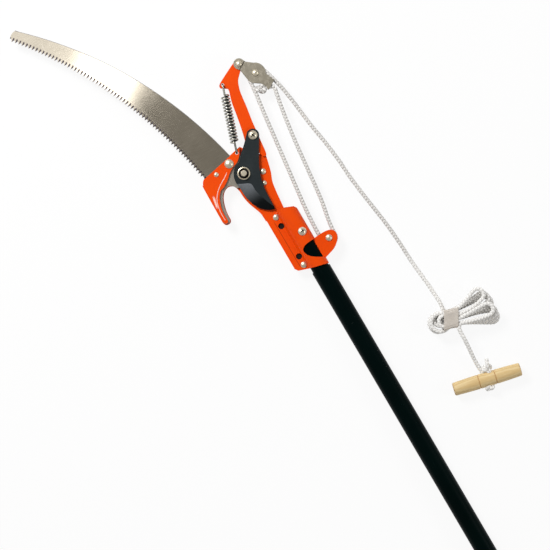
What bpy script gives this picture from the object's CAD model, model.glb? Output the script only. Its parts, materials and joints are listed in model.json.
import json
import math

import bmesh
import bpy
from mathutils import Matrix, Vector

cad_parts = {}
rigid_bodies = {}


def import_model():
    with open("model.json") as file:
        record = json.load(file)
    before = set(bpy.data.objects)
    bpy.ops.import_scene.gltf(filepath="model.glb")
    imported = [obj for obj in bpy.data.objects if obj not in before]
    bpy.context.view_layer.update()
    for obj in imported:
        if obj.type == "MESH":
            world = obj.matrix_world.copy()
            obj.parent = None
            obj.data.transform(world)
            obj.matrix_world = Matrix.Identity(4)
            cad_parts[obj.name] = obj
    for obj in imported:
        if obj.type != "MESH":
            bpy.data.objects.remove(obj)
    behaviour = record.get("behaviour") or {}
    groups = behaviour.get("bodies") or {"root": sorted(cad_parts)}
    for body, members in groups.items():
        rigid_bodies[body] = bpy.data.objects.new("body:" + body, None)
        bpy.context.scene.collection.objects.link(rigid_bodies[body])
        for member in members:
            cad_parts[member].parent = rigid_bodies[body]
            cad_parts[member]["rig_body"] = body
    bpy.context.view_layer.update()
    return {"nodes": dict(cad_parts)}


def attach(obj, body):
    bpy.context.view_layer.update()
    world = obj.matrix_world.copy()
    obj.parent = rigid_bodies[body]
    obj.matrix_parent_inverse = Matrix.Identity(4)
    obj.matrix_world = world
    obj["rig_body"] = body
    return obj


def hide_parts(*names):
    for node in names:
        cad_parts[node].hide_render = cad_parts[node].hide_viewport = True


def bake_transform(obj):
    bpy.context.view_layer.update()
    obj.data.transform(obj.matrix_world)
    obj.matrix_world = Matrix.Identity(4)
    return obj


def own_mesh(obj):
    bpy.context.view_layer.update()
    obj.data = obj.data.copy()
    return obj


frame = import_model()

scene = bpy.context.scene
scene.view_settings.view_transform = "Standard"

# Camera: the tool lies on a white table and is seen from straight above through a long lens,
# turned so that the pole runs down to the right, as in the photograph.
seen_width = 0.770
seen_level = 0.003
picture_middle = (-0.060, 1.0249)
picture_turn = math.radians(-30.32)
overhead = bpy.data.cameras.new("overhead_camera")
overhead.type = "PERSP"
overhead.lens = 200
overhead.sensor_width = 36
overhead.clip_end = 60
camera = bpy.data.objects.new("overhead_camera", overhead)
camera.location = (*picture_middle, seen_level + seen_width * overhead.lens / overhead.sensor_width)
camera.rotation_euler = (0, 0, picture_turn)
scene.collection.objects.link(camera)
scene.camera = camera

# Pull rope: white braided nylon cord, about 5.6 mm thick, in one length from the upper block. It drops
# beside the lever, lies along the table, is folded into a tied hank, and ends in the toggle. The braid
# is four thick carriers, two each way round, and it is greyer where the rope is worked.
rope_d = 0.0056
ring_gap = 0.0008
ring_sides = 20
braid_carriers = 2
braid_pitch = 0.0092
braid_relief = 0.17
braid_level = 0.55
crossing_dip = 0.4
head_y = 1006
floor_z = -14.5
rope_lift = 3.1
rope_floor = floor_z + rope_lift


def at(x, y, z=0.0):
    """A place measured in millimetres from the head's lower edge, in the object's frame."""
    return Vector((x, y + head_y, z)) / 1000


def set_out(origin, way, along, across, z):
    """A place along and across a direction from an origin, in millimetres."""
    return at(origin[0] + along * way[0] - across * way[1], origin[1] + along * way[1] + across * way[0], z)


def sweep(first, last, steps):
    """Angles at even steps from first to last, which are in degrees."""
    return [math.radians(first + (last - first) * i / steps) for i in range(steps + 1)]


def smooth_run(points, steps):
    """A smooth line through hand-set places."""
    line = []
    for i in range(len(points) - 1):
        a = points[max(i - 1, 0)]
        b = points[i]
        c = points[i + 1]
        d = points[min(i + 2, len(points) - 1)]
        for k in range(steps):
            t = k / steps
            line.append(0.5 * (2 * b + (c - a) * t + (2 * a - 5 * b + 4 * c - d) * t * t
                               + (3 * b - a - 3 * c + d) * t * t * t))
    return line + [points[-1]]


def line_length(line):
    return sum((b - a).length for a, b in zip(line, line[1:]))


def spaced(line, gap):
    """The same line with its points at even steps."""
    count = max(2, round(line_length(line) / gap))
    step = line_length(line) / count
    rounding = 1e-12
    even = [line[0]]
    left = step
    for a, b in zip(line, line[1:]):
        span = (b - a).length
        gone = 0.0
        while span - gone >= left - rounding and len(even) < count:
            gone += left
            even.append(a.lerp(b, gone / span))
            left = step
        left -= span - gone
    return even + [line[-1]]


def piece_from(name, mesh, finish):
    """An object at the origin with its finish on it."""
    made = bpy.data.objects.new(name, mesh)
    scene.collection.objects.link(made)
    made.data.materials.clear()
    made.data.materials.append(finish)
    return made


def tube_mesh(name, line, radius, resolution):
    """A round tube along a line."""
    core = bpy.data.curves.new(name, "CURVE")
    core.dimensions = "3D"
    core.bevel_depth = radius
    core.bevel_resolution = resolution
    run = core.splines.new("POLY")
    run.points.add(len(line) - 1)
    for point, place in zip(run.points, line):
        point.co = (*place, 1)
    holder = bpy.data.objects.new(name, core)
    scene.collection.objects.link(holder)
    seen = bpy.context.evaluated_depsgraph_get()
    mesh = bpy.data.meshes.new_from_object(holder.evaluated_get(seen))
    bpy.data.objects.remove(holder)
    bpy.data.curves.remove(core)
    return mesh


def close_ends(mesh):
    """Closes a tube's two ends and smooths its sides."""
    shape = bmesh.new()
    shape.from_mesh(mesh)
    bmesh.ops.holes_fill(shape, edges=[e for e in shape.edges if e.is_boundary], sides=0)
    shape.to_mesh(mesh)
    shape.free()
    mesh.shade_smooth()


def braided(name, line, radius=rope_d / 2):
    """A length of braided rope, with the carriers standing up from the surface."""
    line = spaced(line, ring_gap)
    mesh = tube_mesh(name, line, radius, ring_sides // 2 - 2)
    braid = mesh.attributes.new("braid", "FLOAT", "POINT")
    for i, vert in enumerate(mesh.vertices):
        ring, side = divmod(i, ring_sides)
        along = ring * ring_gap / braid_pitch
        u = braid_carriers * (along + side / ring_sides)
        v = braid_carriers * (along - side / ring_sides)
        a = math.sin(math.pi * (u % 1))
        b = math.sin(math.pi * (v % 1))
        upper, lower = (a, b) if (math.floor(u) + math.floor(v)) % 2 == 0 else (b, a)
        height = upper * (1 - crossing_dip + crossing_dip * lower)
        braid.data[i].value = height
        vert.co = vert.co + (vert.co - line[ring]) * braid_relief * (height - braid_level)
    close_ends(mesh)
    return piece_from(name, mesh, rope_white)


class Feed:
    """One value in a finish's node tree."""

    def __init__(self, tree, socket=None):
        self.tree = tree
        self.socket = socket

    def node(self, kind, settings=None, sockets=None, out=0):
        made = self.tree.nodes.new("ShaderNode" + kind)
        for name, value in (settings or {}).items():
            if name == "stops":
                ramp = made.color_ramp.elements
                ramp.remove(ramp[1])
                ramp[0].position, ramp[0].color = value[0]
                for place, tone in value[1:]:
                    ramp.new(place).color = tone
            else:
                setattr(made, name, value)
        for name, value in (sockets or {}).items():
            if isinstance(value, Feed):
                self.tree.links.new(value.socket, made.inputs[name])
            else:
                made.inputs[name].default_value = value
        return Feed(self.tree, made.outputs[out])

    def sum_with(self, operation, first, second=0.0):
        return self.node("Math", {"operation": operation}, {0: first, 1: second})

    def __add__(self, other):
        return self.sum_with("ADD", self, other)

    def __radd__(self, other):
        return self.sum_with("ADD", other, self)

    def __sub__(self, other):
        return self.sum_with("SUBTRACT", self, other)

    def __rsub__(self, other):
        return self.sum_with("SUBTRACT", other, self)

    def __mul__(self, other):
        return self.sum_with("MULTIPLY", self, other)

    def __rmul__(self, other):
        return self.sum_with("MULTIPLY", other, self)

    def __abs__(self):
        return self.sum_with("ABSOLUTE", self)

    def between(self, low, high):
        """0 below low, 1 above high, eased between them."""
        return self.node("MapRange", {"interpolation_type": "SMOOTHSTEP"},
                         {0: self, 1: low, 2: high, 3: 0.0, 4: 1.0})

    def blend(self, first, second):
        """A colour from first to second, by this value."""
        return self.node("Mix", {"data_type": "RGBA"}, {0: self, 6: first, 7: second}, 2)

    def into(self, shader, name):
        self.tree.links.new(self.socket, shader.inputs[name])


def colour(red, green, blue):
    """A colour as a picture shows it, from 0 to 255, turned to light's own scale by the usual curve."""
    parts = [c / 255 for c in (red, green, blue)]
    return (*[p / 12.92 if p <= 0.04045 else ((p + 0.055) / 1.055) ** 2.4 for p in parts], 1.0)


def new_finish(name, **constants):
    """A finish, its node feed, its shader with what is the same all over, and the place on the object."""
    finish = bpy.data.materials.new(name)
    finish.use_nodes = True
    shader = finish.node_tree.nodes["Principled BSDF"]
    for socket, value in constants.items():
        shader.inputs[socket.replace("_", " ")].default_value = value
    feed = Feed(finish.node_tree)
    return finish, feed, shader, feed.node("TexCoord", out="Object")


def axis_of(feed, place, axis):
    """One of a place's three measures."""
    return feed.node("SeparateXYZ", None, {0: place}, axis)


def grain(feed, place, scale, detail=3.0, roughness=0.55):
    return feed.node("TexNoise", None,
                     {"Vector": place, "Scale": scale, "Detail": detail, "Roughness": roughness})


def bumped(feed, shader, height, strength, distance):
    bump = feed.node("Bump", None, {"Strength": strength, "Distance": distance, "Height": height})
    bump.into(shader, "Normal")


rope_white, feed, shader, place = new_finish("rope_white", Specular_IOR_Level=0.3, Sheen_Weight=0.25)
clean_to_y = 0.93
worked_from_y = 0.97
crown = feed.node("Attribute", {"attribute_name": "braid"}, out="Fac")
fibres = grain(feed, place, 2600)
soiling = grain(feed, place, 22).between(0.5, 0.75)
shown = (crown + 0.25 * (fibres - 0.5)).between(0.1, 0.85)
worked = axis_of(feed, place, "Y").between(clean_to_y, worked_from_y)
hollow = worked.blend(colour(220, 217, 213), colour(176, 172, 168))
ridge = worked.blend(colour(254, 253, 250), colour(237, 235, 231))
(soiling * 0.25).blend(shown.blend(hollow, ridge), colour(236, 230, 222)).into(shader, "Base Color")
(0.62 + 0.2 * fibres).into(shader, "Roughness")
bumped(feed, shader, fibres, strength=0.25, distance=0.0002)

hank_at = (121, -158)
hank_turn = math.radians(-14)
hank_way = (math.cos(hank_turn), math.sin(hank_turn))
hank_low = -10.3
hank_top = 9.5
layer_rise = 6.6
upper_reaches = (63, 61, 59, 54)
upper_fans = (0.02, 0.1, 0.2, 0.4)
lower_reaches = (66, 65, 64, 61)
lower_fans = (-0.15, -0.08, 0.0, 0.1)
small_reaches = (21, 13.5, 23, 17)
small_fans = (0.2, -0.25, 0.28, -0.15)
cross_reach = 30
cross_fan = -0.1
fold_aside = 6.2
long_gap = 3.0
long_bend = 8.2
small_gap = 3.2
small_bend = 8.0
cross_gap = -9.2
cross_bend = -13.0
bend_from = 0.35
bend_to = 0.65
half_turns = 15
half_turn_steps = 20
lead_bend = 8
lead_steps = 4


def in_hank(x, y, z):
    """A place in the hank, along and across it, in millimetres."""
    return set_out(hank_at, hank_way, x, y, z)


def softly(t):
    """From 0 to 1, easing in and out."""
    return t * t * (3 - 2 * t)


def hank_loop(u):
    """The rope's place after u half turns: figures of eight, with two long folds side by side in a layer."""
    layer, kind = divmod(math.floor(u), 4)
    way = u - math.floor(u)
    climb = 0.0
    if kind == 0:
        side, middle, gap, bend = 1, fold_aside, long_gap, long_bend
        reach, fan = upper_reaches[layer], upper_fans[layer]
    elif kind == 1:
        side, middle, gap, bend = -1, 0.0, small_gap, small_bend
        reach, fan = small_reaches[layer], small_fans[layer]
    elif kind == 2:
        side, middle, gap, bend = 1, -fold_aside, long_gap, long_bend
        reach, fan = lower_reaches[layer], lower_fans[layer]
    else:
        side, middle, gap, bend = -1, 0.0, cross_gap, cross_bend
        reach, fan = cross_reach - layer, cross_fan
        climb = softly(way)
    turn = math.pi * (0.5 - (min(max(way, bend_from), bend_to) - bend_from) / (bend_to - bend_from))
    out = min(1.0, min(way, 1 - way) / bend_from)
    along = (reach - abs(bend)) * out
    past = abs(bend) * math.cos(turn)
    strand = 1 if way < 0.5 else -1
    off = bend * math.sin(turn) if out == 1 else (gap + (bend - gap) * softly(out)) * strand
    lean = math.atan(2 * fan * along / reach)
    x = along + past * math.cos(lean) - off * math.sin(lean)
    y = middle + fan * along * along / reach + past * math.sin(lean) + off * math.cos(lean)
    return in_hank(side * x, y, hank_low + layer_rise * (layer + climb))


def hank_lead(centre, first, last, z):
    """The curve by which the rope enters or leaves the hank."""
    return [in_hank(centre[0] + lead_bend * math.cos(q), centre[1] + lead_bend * math.sin(q), z)
            for q in sweep(first, last, lead_steps)]


hank_in = [in_hank(-9, 33, hank_low), in_hank(-7.2, 26, hank_low)] + hank_lead((2, 17.4), 180, 240, hank_low)
hank_out = hank_lead((15.5, -17), 120, 180, hank_top)
hank_out += [in_hank(8.6, -24, hank_top), in_hank(10.3, -30.8, hank_top)]
hank_loops = [hank_loop(i / half_turn_steps) for i in range(1, half_turns * half_turn_steps - 1)]

drop_end = at(85.4, 212, -5)
free_points = [drop_end, at(87.4, 195, -7.2), at(90.2, 172, -9.2), at(95, 144, -10.6), at(98.6, 114, -11.2),
               at(100.4, 85, rope_floor), at(105.4, 44, rope_floor), at(111, 4, rope_floor),
               at(113.8, -30, rope_floor), at(115.4, -64, rope_floor), at(118.4, -96, rope_floor)]

toggle_at = (123, -257.5)
toggle_turn = math.radians(-13.3)
toggle_way = (math.cos(toggle_turn), math.sin(toggle_turn))
toggle_z = -4.1


def in_toggle(x, y, z=0.0):
    """A place on the toggle, along and across it, in millimetres."""
    return set_out(toggle_at, toggle_way, x, y, toggle_z + z)


tail_points = [at(122.8, -204, 6), at(121.4, -224, -1), in_toggle(-5.6, 17), in_toggle(-2.6, 7),
               in_toggle(-0.4, -4), in_toggle(0.4, -14)]
rope_line = smooth_run(free_points + hank_in + hank_loops + hank_out + tail_points, steps=6)
pull_rope = braided("pull_rope", rope_line)
at(105, 44, rope_floor)
at(86, 214, -5)
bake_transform(pull_rope)
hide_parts("free_rope", "rope_hank", "tail_rope")

# Stretches of the same rope that work the lever: round the ear wheel, up to the block's wheel, over
# it, and from the ear wheel up to the knot in the block. They are rove taut and move with the pull.
ear_at = (31.5, 26)
ear_groove_r = 10
block_at = (59, 277)
block_groove_r = 11.5
lever_mid = 3.7


def on_arc(centre, radius, first, last, z):
    """Places on an arc about a centre, in millimetres from the head's lower edge."""
    return [at(centre[0] + radius * math.cos(q), centre[1] + radius * math.sin(q), z)
            for q in sweep(first, last, steps=40)]


ear_turn = braided("ear_turn_rope", on_arc(ear_at, ear_groove_r, 180, 355, 0))
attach(ear_turn, "hoist_rope")
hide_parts("ear_rope")
block_turn = braided("block_turn_rope", on_arc(block_at, block_groove_r, 178, 16, lever_mid))
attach(block_turn, "block")
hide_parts("block_rope")

rise_points = [at(21.5, 26, 0), at(21.5, 38, 0.1), at(23.6, 75, 0.8), at(29.4, 125, 1.6), at(36, 180, 2.4),
               at(41.5, 225, 3), at(45.2, 252, lever_mid), at(47.5, 277.1, lever_mid)]
rise = braided("rise_rope", smooth_run(rise_points, steps=8))
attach(rise, "hoist_rope")
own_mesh(rise)
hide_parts("rope_rise")

fall_points = [at(41.46, 25.13, 0), at(43.2, 45.05, 0.1), at(49.5, 80, 0.8), at(54.5, 125, 1.6),
               at(60, 175, 2.4), at(66.5, 218, 3), at(71.9, 245.4, lever_mid)]
fall = braided("fall_rope", smooth_run(fall_points, steps=8))
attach(fall, "hoist_rope")
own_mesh(fall)
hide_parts("rope_fall")

drop_points = [at(70.06, 280.17, lever_mid), at(73.37, 268.63, lever_mid), at(78.2, 251.6, 1.8),
               at(81.6, 237, -1.2), drop_end]
drop = braided("drop_rope", smooth_run(drop_points, steps=8))
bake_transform(drop)
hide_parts("rope_drop")

# Knots: overhand knots pulled down hard in the same rope, one in front of the toggle with its cut
# end standing out, one behind it, and a stopper knot hung in the block.
knot_rope_r = 0.0027
knot_steps = 96
knot_depth = 1.15
picture_right = Vector((0.8632, -0.5048, 0))
picture_up = Vector((0.5048, 0.8632, 0))


def overhand(name, centre, across, along, size, narrow=1.0, tail=None):
    """A tight overhand knot about a place, lying in the plane of two directions."""
    out_of = across.cross(along).normalized()
    line = []
    for i in range(knot_steps + 1):
        t = 2 * math.pi * i / knot_steps
        x = math.sin(t) + 2 * math.sin(2 * t)
        y = math.cos(t) - 2 * math.cos(2 * t)
        z = -knot_depth * math.sin(3 * t)
        line.append(centre + size * (narrow * x * across + y * along + z * out_of))
    knot = braided(name, line, knot_rope_r)
    if tail:
        stub = braided(name + "_end", smooth_run(tail, steps=8), knot_rope_r)
        joined = bmesh.new()
        joined.from_mesh(knot.data)
        joined.from_mesh(stub.data)
        joined.to_mesh(knot.data)
        joined.free()
        bpy.data.objects.remove(stub)
    return knot


toggle_along = Vector((*toggle_way, 0))
toggle_across = Vector((-toggle_way[1], toggle_way[0], 0))
front_end = [in_toggle(4, 14, 6), in_toggle(5.4, 19, 8), in_toggle(6.4, 24, 7), in_toggle(7, 28, 6)]
front_knot = overhand("toggle_front_knot", in_toggle(3.8, 13.8, 3), toggle_along, toggle_across,
                      size=0.0019, tail=front_end)
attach(front_knot, "head")
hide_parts("toggle_knot")
back_knot = overhand("toggle_back_knot", in_toggle(0.5, -12), toggle_along, Vector((0, 0, 1)), size=0.0016)
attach(back_knot, "head")
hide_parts("toggle_end_knot")
stopper_end = [at(58, 251.6, lever_mid), at(63, 251, lever_mid), at(69, 249, lever_mid),
               at(73, 247.4, lever_mid)]
stopper = overhand("block_stopper_knot", at(54.6, 253.6, lever_mid), picture_up, picture_right, size=0.0025,
                   narrow=0.6, tail=stopper_end)
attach(stopper, "block")
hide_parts("anchor_knot")

# Band: a strip of pale clear tape wound once round the hank's waist and stuck to itself. The rope
# under it shows through and turns its edges out.
merge_gap = 0.000004
flat_angle = math.radians(0.6)
crease_angle = math.radians(32)
sharp_angle = math.radians(40)


def mesh_from(name, shape):
    """A mesh with a finished shape in it."""
    mesh = bpy.data.meshes.new(name)
    shape.to_mesh(mesh)
    shape.free()
    return mesh


def eased(node, name, finish, ease, steps=2):
    """A copy of a solid with its edges broken, as tumbling, coating or wear leaves them."""
    shape = bmesh.new()
    shape.from_mesh(frame["nodes"][node].data)
    bmesh.ops.remove_doubles(shape, verts=shape.verts[:], dist=merge_gap)
    bmesh.ops.dissolve_limit(shape, angle_limit=flat_angle, verts=shape.verts[:], edges=shape.edges[:])
    creased = [e for e in shape.edges if e.is_manifold and e.calc_face_angle(0) > crease_angle]
    if ease and creased:
        bmesh.ops.bevel(shape, geom=creased, offset=ease, offset_type="OFFSET", affect="EDGES",
                        segments=steps, profile=0.5, material=-1, clamp_overlap=True)
    mesh = mesh_from(name, shape)
    mesh.shade_smooth()
    mesh.set_sharp_from_angle(angle=sharp_angle)
    made = piece_from(name, mesh, finish)
    flats = made.modifiers.new("flats", "WEIGHTED_NORMAL")
    flats.keep_sharp = True
    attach(made, frame["nodes"][node]["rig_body"])
    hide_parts(node)
    return made


def stretched(feed, place, stretch, turn=0.0):
    """A place turned about the vertical and drawn out, for a pattern with a direction."""
    return feed.node("Mapping", None, {"Vector": place, "Rotation": (0.0, 0.0, turn), "Scale": stretch})


tape, feed, shader, place = new_finish("waist_tape", Specular_IOR_Level=0.3, IOR=1.46, Alpha=0.72)
wrinkles = grain(feed, stretched(feed, place, (1.0, 0.25, 0.25), -hank_turn), 420, detail=4.0)
wrinkles.blend(colour(214, 205, 194), colour(236, 228, 218)).into(shader, "Base Color")
(0.28 + 0.25 * wrinkles).into(shader, "Roughness")
bumped(feed, shader, wrinkles, strength=0.5, distance=0.0006)

band_start = -10
band_width = 21.5
band_steps = 10
band_sides = 72
band_half = 13.4
band_middle = -0.4
band_lean = 0.29
corner_power = 0.3
flare_length = 10
side_flare = 1.4
face_flare = 0.2
strand_pitch = 4
strand_ridge = 0.25
wrap = bmesh.new()
loops = []
for i in range(band_steps + 1):
    x = band_start + band_width * i / band_steps
    spread = (x / flare_length) ** 2
    hoop = bmesh.ops.create_circle(wrap, segments=band_sides)["verts"]
    for k, vert in enumerate(hoop):
        q = 2 * math.pi * k / band_sides
        c = math.cos(q)
        s = math.sin(q)
        y = (band_half + side_flare * spread) * math.copysign(abs(c) ** corner_power, c)
        ridge = strand_ridge * math.cos(2 * math.pi * y / strand_pitch) * abs(s)
        half_height = band_half + face_flare * spread + ridge
        z = band_middle + half_height * math.copysign(abs(s) ** corner_power, s)
        vert.co = in_hank(x + band_lean * y, y, z)
    hoop_edges = [e for e in wrap.edges if all(v in hoop for v in e.verts)]
    if loops:
        bmesh.ops.bridge_loops(wrap, edges=loops + hoop_edges)
    loops = hoop_edges
bmesh.ops.recalc_face_normals(wrap, faces=wrap.faces[:])
wrap_mesh = mesh_from("waist_band", wrap)
wrap_mesh.shade_smooth()
waist_band = piece_from("waist_band", wrap_mesh, tape)
film = waist_band.modifiers.new("film", "SOLIDIFY")
film.thickness = 0.0003
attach(waist_band, "head")
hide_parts("hank_band")

# Toggle: a turned handle of pale hardwood, oiled, with two scored lines and a hole across it. The
# rope goes through the hole and is knotted on both sides.
scored_at = 0.012
scored_core = 0.0003
scored_edge = 0.0008
rounded_from = 0.0468
rounded_to = 0.049
wood, feed, shader, place = new_finish("oiled_wood", Specular_IOR_Level=0.35)
turned = feed.node("Mapping", {"vector_type": "POINT"}, {
    "Vector": place, "Location": tuple(-(Matrix.Rotation(-toggle_turn, 3, "Z") @ in_toggle(0, 0))),
    "Rotation": (0.0, 0.0, -toggle_turn)})
long_grain = grain(feed, stretched(feed, turned, (0.06, 1.0, 1.0)), 900, detail=5.0, roughness=0.6)
rings = feed.node("TexWave", {"wave_type": "BANDS", "bands_direction": "Z"},
                  {"Vector": stretched(feed, turned, (0.12, 1.0, 1.35)), "Scale": 95, "Distortion": 5.0,
                   "Detail": 3.0, "Detail Scale": 2.0}, "Fac")
pores = grain(feed, stretched(feed, turned, (0.08, 1.0, 1.0)), 2600, detail=2.0).between(0.62, 0.78)
pale = (0.65 * rings + 0.35 * long_grain).blend(colour(218, 185, 127), colour(237, 213, 162))
tone = (pores * 0.28).blend(pale, colour(176, 128, 74))
lengthwise = abs(axis_of(feed, turned, "X"))
scored = 1 - abs(lengthwise - scored_at).between(scored_core, scored_edge)
ends = lengthwise.between(rounded_from, rounded_to)
darker = 0.7 * scored + 0.35 * ends - 0.3 * scored * ends
darker.blend(tone, colour(178, 124, 64)).into(shader, "Base Color")
(0.4 + 0.22 * long_grain).into(shader, "Roughness")
bumped(feed, shader, long_grain - 0.4 * pores, strength=0.16, distance=0.0004)
toggle = eased("toggle_handle", "wood_toggle", wood, 0.0005)
round(line_length(rope_line), 3)
spaced(rope_line, 0.004)

# Pole: two drawn tubes, one sliding in the other, with a black satin paint that has a green cast.
# Long fine rubs run the way the tubes slide.
paint, feed, shader, place = new_finish("pole_paint", Specular_IOR_Level=0.04)
rubs = grain(feed, stretched(feed, place, (1.0, 0.02, 1.0)), 1500, detail=4.0, roughness=0.6)
cloud = grain(feed, place, 14, detail=4.0)
dust = grain(feed, place, 1900, detail=2.0).between(0.66, 0.8)
satin = cloud.blend(colour(0, 5, 5), colour(0, 16, 15))
worn = (rubs.between(0.66, 0.82) * 0.3).blend(satin, colour(38, 48, 46))
(dust * 0.1).blend(worn, colour(50, 60, 58)).into(shader, "Base Color")
(0.26 + 0.16 * rubs + 0.08 * cloud).into(shader, "Roughness")
bumped(feed, shader, rubs + 0.4 * dust, strength=0.06, distance=0.0002)
for node, name in (("outer_tube", "pole_outer_tube"), ("inner_tube", "pole_inner_tube")):
    tube = eased(node, name, paint, 0.0003)

# Plastic pieces: moulded black plastic for the butt plug, the lock inside the pole and the two
# grooved wheels, with a fine spark texture.
plastic, feed, shader, place = new_finish("black_plastic", Specular_IOR_Level=0.4)
spark = grain(feed, place, 3200, detail=2.0)
sheen = grain(feed, place, 60)
sheen.blend(colour(16, 17, 18), colour(34, 35, 36)).into(shader, "Base Color")
(0.42 + 0.24 * spark).into(shader, "Roughness")
bumped(feed, shader, spark, strength=0.2, distance=0.00015)
for node, name in (("end_plug", "butt_plug"), ("lock_plug", "pole_lock_plug"),
                   ("lock_ring", "pole_lock_ring"), ("block_wheel", "block_rope_wheel"),
                   ("ear_wheel", "ear_rope_wheel")):
    moulding = eased(node, name, plastic, 0.0003)

# Socket shells, cover and lever: pressed steel sheet with a thick orange powder coat. The coat has a
# fine orange peel, a few chips show the steel, and the cover's rolled rim is rubbed pale.
fold_x = -0.0236
fold_core = 0.0002
fold_edge = 0.0008
fold_low = 1.0165
fold_high = 1.0895
fold_fade = 0.0015
streak_at = (-0.0808, 1.1545)
streak_way = (0.185, 0.983)


def from_spot(feed, place, spot):
    """How far a place lies from a spot, along x and along y."""
    return axis_of(feed, place, "X") - spot[0], axis_of(feed, place, "Y") - spot[1]


def powder_coat(name, gloss=0.15, crease=False, streak=False, worn=0.0):
    """The orange coat, with a pressed crease, a pale streak or a rubbed surface where a piece has one."""
    finish, feed, shader, place = new_finish(name, Specular_IOR_Level=gloss)
    peel = grain(feed, place, 900, detail=2.0)
    drift = grain(feed, place, 26)
    grime = grain(feed, place, 90, detail=5.0, roughness=0.65).between(0.58, 0.8)
    chip = (grain(feed, place, 420, roughness=0.6).between(0.755, 0.77)
            * grain(feed, place, 40, detail=2.0).between(0.5, 0.6))
    coat = drift.blend(colour(232, 68, 0), colour(242, 80, 2))
    coat = (grime * 0.16).blend(coat, colour(150, 44, 10))
    height = peel - 2.0 * chip
    if crease:
        across = axis_of(feed, place, "X") - fold_x
        length = axis_of(feed, place, "Y")
        inside = (length.between(fold_low, fold_low + fold_fade)
                  * (1 - length.between(fold_high - fold_fade, fold_high)))
        fold = (1 - abs(across).between(fold_core, fold_edge)) * inside
        coat = (fold * 0.6).blend(coat, colour(120, 36, 8))
        height = height - 3.0 * fold
    if streak:
        east, north = from_spot(feed, place, streak_at)
        aside = abs(streak_way[1] * east - streak_way[0] * north)
        along = abs(streak_way[0] * east + streak_way[1] * north)
        rubbed = (1 - aside.between(0.0003, 0.0022)) * (1 - along.between(0.005, 0.0105))
        coat = (rubbed * 0.85).blend(coat, colour(255, 226, 216))
    if worn:
        coat = (worn * drift.between(0.2, 0.45)).blend(coat, colour(252, 226, 216))
    chip.blend(coat, colour(96, 90, 84)).into(shader, "Base Color")
    (0.3 + 0.12 * peel + 0.2 * grime).into(shader, "Roughness")
    bumped(feed, shader, height, strength=0.1, distance=0.0003)
    return finish


orange_coat = powder_coat("orange_coat")
orange_creased = powder_coat("orange_creased", crease=True)
dark_inside, feed, shader, place = new_finish("primed_inside", Specular_IOR_Level=0.2)
primer = grain(feed, place, 240, detail=4.0)
primer.blend(colour(14, 12, 11), colour(34, 28, 24)).into(shader, "Base Color")
(0.6 + 0.3 * primer).into(shader, "Roughness")
bumped(feed, shader, primer, strength=0.2, distance=0.0002)

facing_up = 0.9
joint_level = 0.0003
front = eased("front_shell", "socket_front_shell", orange_creased, 0.0005)
back = eased("back_shell", "socket_back_shell", orange_coat, 0.0005)
back.data.materials.append(dark_inside)
for face in back.data.polygons:
    face.material_index = 1 if face.normal.z > facing_up and abs(face.center.z) < joint_level else 0
orange_streaked = powder_coat("orange_streaked", streak=True)
cover = eased("hook_cover", "hook_cover_plate", orange_streaked, 0.0006, steps=3)
orange_rubbed = powder_coat("orange_rubbed", gloss=0.8, worn=0.75)
rim_z = 7.8
rim_r = 0.0006
rim_points = [at(-46, 176.5, rim_z), at(-52, 172, rim_z), at(-63.8, 165, rim_z), at(-71.2, 158.4, rim_z),
              at(-77.2, 150, rim_z), at(-80.4, 139.5, rim_z), at(-81.6, 129, rim_z), at(-81.4, 120, rim_z)]
rim_mesh = tube_mesh("cover_rolled_rim", smooth_run(rim_points, steps=8), rim_r, resolution=4)
close_ends(rim_mesh)
rim = piece_from("cover_rolled_rim", rim_mesh, orange_rubbed)
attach(rim, "head")
lever = eased("lever_arm", "lever_plate", orange_coat, 0.0005)

# Hook plate: the bare steel anvil that the branch rests on, blanked from strip and tumbled. It lies
# under the orange cover.
bare, feed, shader, place = new_finish("bare_steel", Metallic=0.85)
drawn = grain(feed, stretched(feed, place, (1.0, 0.08, 1.0), 0.6), 1600, detail=4.0, roughness=0.6)
stain = grain(feed, place, 70, detail=4.0).between(0.45, 0.8)
steel = drawn.blend(colour(150, 144, 132), colour(188, 182, 170))
(stain * 0.35).blend(steel, colour(118, 106, 90)).into(shader, "Base Color")
(0.32 + 0.2 * drawn + 0.12 * stain).into(shader, "Roughness")
bumped(feed, shader, drawn, strength=0.08, distance=0.0002)
hook = eased("hook_plate", "hook_anvil", bare, 0.0004)

# Saw: a long curved pruning blade of polished spring steel, bolted under the cover. The bevels ground
# on its teeth look dark, and its back edge is tarnished.
tooth_r = 0.6424
tooth_centre = (-0.7118, 1.0899)
tooth_pitch = 0.00505
first_tooth = math.radians(39.05)
bevel_full = 0.0036
bevel_end = 0.0052
back_r = 0.5962
back_centre = (-0.6122, 1.0711)
tarnish_start = 0.0008
tarnish_full = 0.0004


def distance(east, north):
    return east.sum_with("SQRT", east * east + north * north)


polished, feed, shader, place = new_finish("polished_saw_steel", Metallic=1.0)
along_blade = stretched(feed, place, (0.05, 1.0, 1.0), math.radians(52))
across_blade = stretched(feed, place, (1.0, 0.16, 1.0), math.radians(20))
lines = grain(feed, along_blade, 2200, detail=5.0, roughness=0.6)
marks = grain(feed, across_blade, 260, detail=5.0, roughness=0.7).between(0.66, 0.72)
haze = grain(feed, place, 34, detail=4.0)
east, north = from_spot(feed, place, tooth_centre)
bearing = feed.sum_with("ARCTAN2", north, east)
tooth = feed.sum_with("FRACT", (first_tooth - bearing) * (tooth_r / tooth_pitch))
toothed = 1 - distance(east, north).between(tooth_r + bevel_full, tooth_r + bevel_end)
bevel = tooth.between(0.26, 0.34) * (1 - tooth.between(0.7, 0.8)) * toothed
from_back = distance(*from_spot(feed, place, back_centre))
tarnish = from_back.between(back_r - tarnish_start, back_r - tarnish_full)
steel = lines.blend(colour(190, 180, 162), colour(226, 217, 200))
steel = (marks * 0.3).blend(steel, colour(236, 230, 220))
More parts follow.
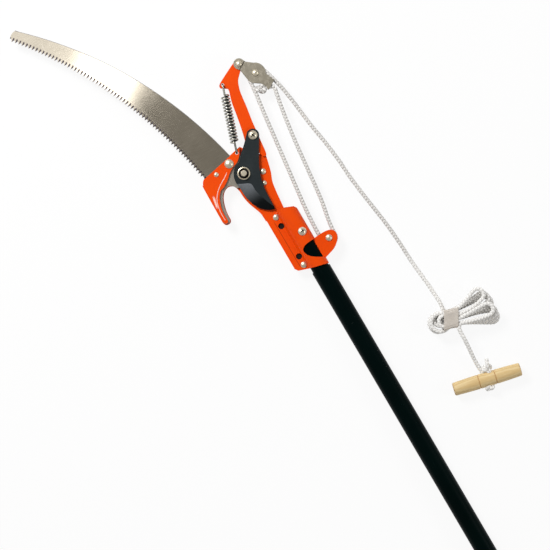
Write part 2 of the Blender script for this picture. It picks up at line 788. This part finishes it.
steel = (tarnish * 0.9).blend(steel, colour(84, 80, 88))
(bevel * 0.94).blend(steel, colour(40, 32, 48)).into(shader, "Base Color")
(0.13 + 0.08 * lines + 0.08 * haze + 0.1 * marks + 0.3 * bevel + 0.3 * tarnish).into(shader, "Roughness")
bumped(feed, shader, lines + 0.5 * marks, strength=0.02, distance=0.0001)
saw = eased("saw_blade", "pruning_saw", polished, 0.0)

# Cutting blade: forged carbon steel, blackened all over, then ground to its edge on one side. The
# ground face is bright near the pivot and dark towards the tip.
dark_to_y = 1.122
bright_from_y = 1.16
ground_to_y = 1.164
steepest = 0.6
flattest = 0.9995
least_area = 2e-6
blackened, feed, shader, place = new_finish("blackened_steel", Specular_IOR_Level=0.22)
forge = grain(feed, place, 520, detail=4.0, roughness=0.6)
rubbed = grain(feed, place, 46, detail=5.0, roughness=0.65).between(0.5, 0.85)
black = forge.blend(colour(23, 30, 32), colour(34, 42, 45))
(rubbed * 0.22).blend(black, colour(66, 73, 76)).into(shader, "Base Color")
(0.4 + 0.2 * forge).into(shader, "Roughness")
bumped(feed, shader, forge, strength=0.12, distance=0.0003)
ground, feed, shader, place = new_finish("ground_edge", Metallic=0.9)
ground_way = stretched(feed, place, (0.08, 1.0, 1.0), math.radians(-28))
strokes = grain(feed, ground_way, 1800, detail=4.0, roughness=0.65)
dark = strokes.blend(colour(14, 18, 19), colour(30, 35, 36))
bright = strokes.blend(colour(124, 130, 136), colour(162, 168, 174))
axis_of(feed, place, "Y").between(dark_to_y, bright_from_y).blend(dark, bright).into(shader, "Base Color")
(0.3 + 0.2 * strokes).into(shader, "Roughness")
bumped(feed, shader, strokes, strength=0.1, distance=0.0002)
blade = eased("cutting_blade", "curved_cutting_blade", blackened, 0.0003)
blade.data.materials.append(ground)
for face in blade.data.polygons:
    sloped = steepest < face.normal.z < flattest and face.area > least_area
    face.material_index = 1 if sloped and face.center.y < ground_to_y else 0

# Fasteners: zinc plated bolts, nuts, rivets and pins with domed heads, slightly yellow from the
# passivating dip, turned or cold headed. Two are screws with a dark cross recess.
zinc, feed, shader, place = new_finish("plated_fastener", Metallic=0.8)
blush = grain(feed, place, 210, detail=4.0)
scuffs = grain(feed, place, 1500, roughness=0.6)
blush.blend(colour(218, 207, 180), colour(240, 232, 212)).into(shader, "Base Color")
(0.24 + 0.16 * scuffs + 0.1 * blush).into(shader, "Roughness")
bumped(feed, shader, scuffs, strength=0.06, distance=0.0002)
recess_r = 0.0036
recess_slack = 0.0002
recess_wall = 0.4
# For each screw with a recess: its middle, its lean in degrees and the height of the recess's floor.
screw_recesses = {"lever_screw": (at(12, 203.5, 0), 0, 0.0108), "clamp_screw": (at(0, 52.5, 0), 15, 0.0159)}
for node in ("shell_rivets", "clamp_screw", "flank_rivets", "saw_bolt", "saw_nut", "saw_pin", "pivot_bolt",
             "lever_screw", "lever_nut", "lever_dowel", "tip_rivet", "block_axle", "ear_axle"):
    fastener = eased(node, node + "_plated", zinc, 0.00035)
    if node in screw_recesses:
        middle, lean, low = screw_recesses[node]
        upright = Matrix.Rotation(math.radians(-lean), 3, "Y")
        fastener.data.materials.append(dark_inside)
        for face in fastener.data.polygons:
            spot = upright @ (face.center - middle)
            facing = (upright @ face.normal).z
            inside = spot.xy.length < recess_r and spot.z > low - recess_slack
            wall_or_floor = facing < recess_wall or spot.z < low + recess_slack
            face.material_index = 1 if inside and wall_or_floor else 0

# Pivot nut: a hexagon set in a round cup that covers the blade's eye. It is plated like the other
# fasteners, with oil and dirt in the cup.
pivot = at(-26, 163.5, 8.7)
cup = [(4.1, 0.5), (7.1, 0.5), (7.3, 2.0), (7.9, 2.5), (8.7, 2.2), (9.2, 1.2), (9.25, 0.0)]
hex_r = 0.0049
hex_height = 0.0065
hex_middle = 0.00375
hex_chamfer = 0.0011
dirt_from_r = 0.0041
dirt_to_r = 0.0074
dirt_depth = 0.0018
nut_shape = bmesh.new()
rim_verts = [nut_shape.verts.new(pivot + Vector((r, 0, z)) / 1000) for r, z in cup]
rim_edges = [nut_shape.edges.new(pair) for pair in zip(rim_verts, rim_verts[1:])]
bmesh.ops.spin(nut_shape, geom=rim_verts + rim_edges, cent=pivot, axis=(0, 0, 1), angle=2 * math.pi,
               steps=64, use_merge=True, use_duplicate=False)
bmesh.ops.recalc_face_normals(nut_shape, faces=nut_shape.faces[:])
hex_place = Matrix.Translation(pivot + Vector((0, 0, hex_middle)))
hexagon = bmesh.ops.create_cone(nut_shape, cap_ends=True, segments=6, radius1=hex_r, radius2=hex_r,
                                depth=hex_height, matrix=hex_place)["verts"]
hex_edges = [e for e in nut_shape.edges if all(v in hexagon for v in e.verts)]
bmesh.ops.bevel(nut_shape, geom=hex_edges, offset=hex_chamfer, offset_type="OFFSET", affect="EDGES",
                segments=1, profile=0.5, material=-1)
nut_mesh = mesh_from("pivot_cup_nut", nut_shape)
nut_mesh.shade_smooth()
nut_mesh.set_sharp_from_angle(angle=math.radians(35))
nut = piece_from("pivot_cup_nut", nut_mesh, zinc)
nut.data.materials.append(dark_inside)
for face in nut.data.polygons:
    in_cup = dirt_from_r < (face.center - pivot).xy.length < dirt_to_r
    face.material_index = 1 if in_cup and face.center.z < pivot.z + dirt_depth else 0
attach(nut, frame["nodes"]["pivot_nut"]["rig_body"])
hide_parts("pivot_nut")

# Block: two stamped zinc plated cheeks and the straps that hang them on the lever's tip. The pins
# between them are ground flush, and dirt lies along the joint of straps and cheeks.
joint_at = (0.0485, 1.3005)
joint_way = (0.858, 0.515)
joint_core = 0.0006
joint_edge = 0.0016
face_low = 0.0067
face_high = 0.0069
stamped, feed, shader, place = new_finish("stamped_zinc", Metallic=0.75)
spangle = feed.node("TexVoronoi", None, {"Vector": place, "Scale": 260.0}, "Color")
cast = feed.node("SeparateColor", None, {0: spangle})
fine = grain(feed, place, 1300)
skin = (0.5 * cast + 0.5 * fine).blend(colour(144, 137, 121), colour(170, 163, 147))
east, north = from_spot(feed, place, joint_at)
joint_line = abs(joint_way[1] * east - joint_way[0] * north + 0.0004 * fine)
below_face = 1 - axis_of(feed, place, "Z").between(face_low, face_high)
dirt = (1 - joint_line.between(joint_core, joint_edge)) * below_face
dirt.blend(skin, colour(22, 20, 18)).into(shader, "Base Color")
(0.36 + 0.16 * fine + 0.06 * cast).into(shader, "Roughness")
bumped(feed, shader, fine, strength=0.03, distance=0.0002)
for node in ("block_straps", "block_front_cheek", "block_back_cheek"):
    plate = eased(node, node + "_stamped", stamped, 0.00035)
for node in ("neck_pin", "anchor_pin"):
    pin = eased(node, node + "_ground_flush", stamped, 0.0002)

# Return spring: close wound from round spring wire, bright outside and dark between its curls. Its
# ends are bent down through the lever and the wing.
wire, feed, shader, place = new_finish("spring_wire", Metallic=1.0)
draw = grain(feed, place, 900, detail=4.0)
rub = feed.node("Attribute", {"attribute_name": "rub"}, out="Fac").between(0.3, 0.95)
bright = draw.blend(colour(172, 170, 160), colour(206, 204, 194))
rub.blend(colour(30, 29, 27), bright).into(shader, "Base Color")
(0.2 + 0.2 * draw).into(shader, "Roughness")
bumped(feed, shader, draw, strength=0.06, distance=0.0001)
spring_low = Vector((-20, 193.2))
spring_high = Vector((11, 285.5))
spring_way = (spring_high - spring_low).normalized()
spring_len = (spring_high - spring_low).length
coil_r = 5.0
coil_z = 4.8
coil_end = 15
coil_turns = 15
coil_steps = 20
wire_r = 0.00145
ride_z = 9.6
hook_lead = 3.6
lower_foot = -0.6
upper_foot = 1.7


def in_spring(along, across, z):
    """A place along the spring's line from its lower hole, in millimetres."""
    return set_out(spring_low, spring_way, along, across, z)


def spring_hook(hole, inward, foot):
    """One end of the wire, from its foot in the hole up and over to the first curl."""
    first_curl = coil_end - hook_lead
    steps_in = ((0, foot), (0, 7.2), (0.7, 8.9), (2.4, ride_z), (first_curl, ride_z))
    return [in_spring(hole + inward * step, 0, z) for step, z in steps_in]


coil = []
for i in range(coil_turns * coil_steps + 1):
    q = 2 * math.pi * i / coil_steps
    along = coil_end + (spring_len - 2 * coil_end) * i / (coil_turns * coil_steps)
    coil.append(in_spring(along, coil_r * math.sin(q), coil_z + coil_r * math.cos(q)))
lower_hook = spring_hook(0, 1, lower_foot)
upper_hook = spring_hook(spring_len, -1, upper_foot)[::-1]
spring_line = smooth_run(lower_hook + coil + upper_hook, steps=2)
spring_mesh = tube_mesh("close_wound_spring", spring_line, wire_r, resolution=4)
coil_start = in_spring(0, 0, coil_z)
coil_way = (in_spring(1, 0, coil_z) - coil_start).normalized()
rub_marks = spring_mesh.attributes.new("rub", "FLOAT", "POINT")
for i, vert in enumerate(spring_mesh.vertices):
    off = vert.co - coil_start
    rub_marks.data[i].value = ((off - coil_way * off.dot(coil_way)).length - coil_r / 1000) / wire_r
close_ends(spring_mesh)
spring = piece_from("close_wound_spring", spring_mesh, wire)
in_spring(-6, 0, ride_z)
in_spring(0.74 * spring_len, 0, ride_z)
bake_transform(spring)
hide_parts("return_spring")

# Table: a plain white top that keeps the soft shadows. To the camera, to mirrors and through clear
# pieces it shows mostly as plain white paper.
table_half = 6
table_gap = 0.15
paper_share = 0.9
plain_white = (1.0, 1.0, 1.0, 1.0)


def blank_tree(owner):
    """An empty node tree for a finish or a world."""
    owner.use_nodes = True
    owner.node_tree.nodes.clear()
    return Feed(owner.node_tree)


def show(surface, kind):
    """Ends a node tree with its surface."""
    end = surface.tree.nodes.new("ShaderNode" + kind)
    surface.tree.links.new(surface.socket, end.inputs["Surface"])


table_top = bmesh.new()
bmesh.ops.create_grid(table_top, x_segments=1, y_segments=1, size=table_half,
                      matrix=Matrix.Translation((-0.06, 1.02, (floor_z - table_gap) / 1000)))
table_white = bpy.data.materials.new("table_white")
feed = blank_tree(table_white)
ray = feed.node("LightPath", out="Is Camera Ray")
mirrored = feed.node("LightPath", out="Is Glossy Ray")
through = feed.node("LightPath", out="Is Transmission Ray")
lit = feed.node("BsdfDiffuse", None, {"Color": (0.9, 0.9, 0.9, 1.0)})
paper = feed.node("Emission", None, {"Color": plain_white, "Strength": 1.0})
share = paper_share * feed.sum_with("MINIMUM", ray + mirrored + through, 1.0)
show(feed.node("MixShader", None, {0: share, 1: lit, 2: paper}), "OutputMaterial")
table = piece_from("white_table", mesh_from("white_table", table_top), table_white)

# Light: a white tent that is dimmer overhead, with a soft box up to the left and a lower, weaker one
# on the right. Past the table the camera sees plain white.
tent_strength = 0.62
tent_walls = [(0.0, (0.55, 0.55, 0.55, 1)), (0.5, (0.62, 0.62, 0.62, 1)),
              (0.85, (0.48, 0.47, 0.46, 1)), (1.0, (0.32, 0.31, 0.29, 1))]
tent = bpy.data.worlds.new("white_tent")
feed = blank_tree(tent)
height = axis_of(feed, feed.node("TexCoord", out="Generated"), "Z")
wall = feed.node("ValToRGB", {"stops": tent_walls}, {0: height})
glow = feed.node("Background", None, {"Color": wall, "Strength": tent_strength})
white = feed.node("Background", None, {"Color": plain_white, "Strength": 1.0})
ray = feed.node("LightPath", out="Is Camera Ray")
show(feed.node("MixShader", None, {0: ray, 1: glow, 2: white}), "OutputWorld")
scene.world = tent
lit_middle = Vector((-0.03, 1.05, 0))


def soft_box(name, right, up, height, size, power):
    """A square lamp turned to the head, placed by the picture's right and up."""
    lamp = bpy.data.lights.new(name, "AREA")
    lamp.shape = "SQUARE"
    lamp.size = size
    lamp.energy = power
    box = bpy.data.objects.new(name, lamp)
    box.location = lit_middle + picture_right * right + picture_up * up + Vector((0, 0, height))
    box.rotation_euler = (lit_middle - box.location).to_track_quat("-Z", "Y").to_euler()
    scene.collection.objects.link(box)


soft_box("left_soft_box", right=-1.1, up=1.2, height=1.7, size=0.7, power=45)
soft_box("right_soft_box", right=1.9, up=-0.2, height=1.2, size=0.6, power=8)

# Window glare: two lit sheets over the saw, one bright and one softer. The camera doesn't see them,
# and they show only in what shines.
glare_height = 0.25
glare_spread = 1.058


def glare(name, first, last, half_width, strength):
    """A lit sheet from first to last, right and up from the picture's middle in millimetres."""
    over = Vector((*picture_middle, glare_height))
    a, b = [over + (picture_right * right + picture_up * up) * glare_spread / 1000
            for right, up in (first, last)]
    aside = (b - a).normalized().cross(Vector((0, 0, 1))) * half_width
    sheet = bmesh.new()
    sheet.faces.new([sheet.verts.new(p) for p in (a - aside, b - aside, b + aside, a + aside)])
    finish = bpy.data.materials.new(name)
    lit = blank_tree(finish).node("Emission", None, {"Color": plain_white, "Strength": strength})
    show(lit, "OutputMaterial")
    made = piece_from(name, mesh_from(name, sheet), finish)
    made.visible_camera = False
    made.visible_diffuse = False
    made.visible_transmission = False
    made.visible_shadow = False


glare("bright_glare", (-194, 268), (-268, 304), half_width=0.09, strength=4.0)
glare("soft_glare", (-269, 304), (-420, 360), half_width=0.09, strength=1.0)
